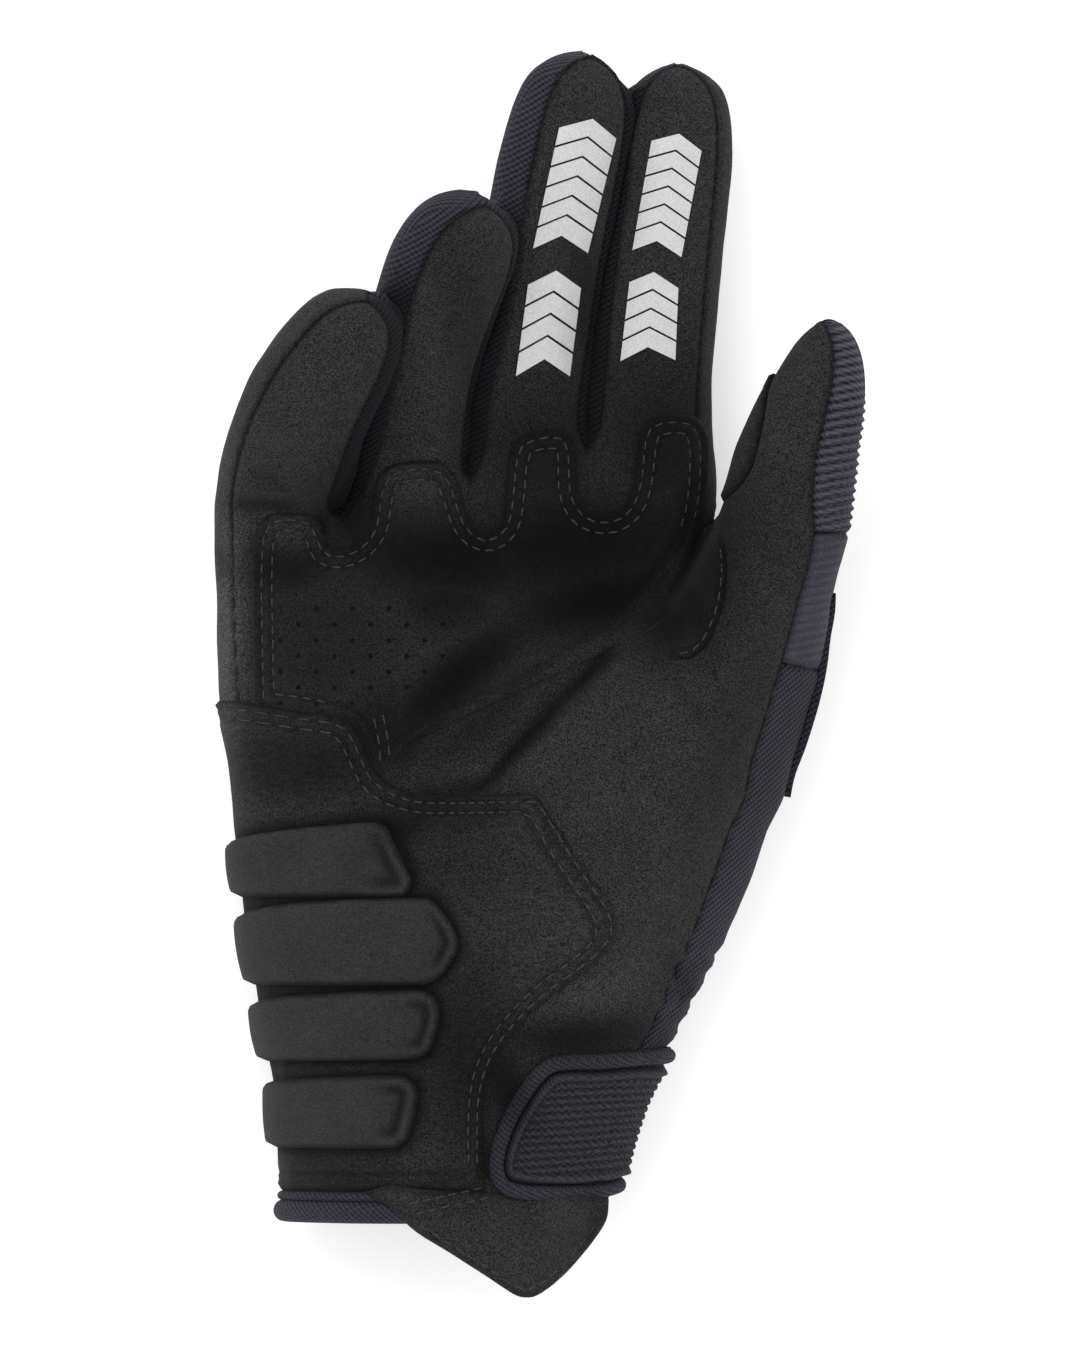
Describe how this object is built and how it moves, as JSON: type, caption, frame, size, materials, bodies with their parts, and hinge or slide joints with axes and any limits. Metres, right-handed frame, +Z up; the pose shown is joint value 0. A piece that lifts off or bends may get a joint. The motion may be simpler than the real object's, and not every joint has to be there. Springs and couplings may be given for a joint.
{
  "type": "motorcycle glove",
  "caption": "Short-cuff suede and knit motorcycle glove lying palm up, fingers slightly curled, with a stitched palm patch, foam heel pads, reflective chevrons and a wrist strap.",
  "frame": {"origin": "on the surface that the glove rests on, under the middle of its box", "axes": "+Y from the cuff to the finger tips, +X towards the thumb, +Z up out of the palm"},
  "size_m": [0.1296, 0.248, 0.0588],
  "materials": {
    "suede": "soft synthetic suede with a short nap",
    "pad_suede": "suede over foam",
    "patch_suede": "dense dark suede",
    "twill_knit": "fine twill stretch knit",
    "rib_knit": "ribbed stretch knit",
    "strap_weave": "woven webbing with cross ribs",
    "binding_knit": "knit binding tape",
    "reflective_film": "reflective silver film with a fine speckle"
  },
  "bodies": {
    "root": {"back_guard": "twill_knit", "back_panel": "twill_knit", "chevron_index_lower_1": "reflective_film", "chevron_index_lower_2": "reflective_film", "chevron_index_lower_3": "reflective_film", "chevron_index_lower_4": "reflective_film", "chevron_index_upper_1": "reflective_film", "chevron_index_upper_2": "reflective_film", "chevron_index_upper_3": "reflective_film", "chevron_index_upper_4": "reflective_film", "chevron_index_upper_5": "reflective_film", "chevron_index_upper_6": "reflective_film", "chevron_middle_lower_1": "reflective_film", "chevron_middle_lower_2": "reflective_film", "chevron_middle_lower_3": "reflective_film", "chevron_middle_lower_4": "reflective_film", "chevron_middle_upper_1": "reflective_film", "chevron_middle_upper_2": "reflective_film", "chevron_middle_upper_3": "reflective_film", "chevron_middle_upper_4": "reflective_film", "chevron_middle_upper_5": "reflective_film", "chevron_middle_upper_6": "reflective_film", "cuff_binding": "binding_knit", "cuff_tab": "suede", "fourchette_little_ring": "twill_knit", "fourchette_middle_index": "twill_knit", "fourchette_ring_middle": "twill_knit", "heel_pad_1": "pad_suede", "heel_pad_2": "pad_suede", "heel_pad_3": "pad_suede", "heel_pad_4": "pad_suede", "heel_patch": "suede", "index_side_panel": "suede", "palm_panel": "suede", "palm_patch": "patch_suede", "strap_binding": "binding_knit", "thumb_back_panel": "twill_knit", "thumb_panel": "suede", "thumb_patch": "suede", "thumb_rib_panel": "rib_knit", "thumb_side_panel": "twill_knit", "ulnar_panel": "suede", "web_patch": "patch_suede", "wrist_strap": "strap_weave"}
  },
  "joints": []
}
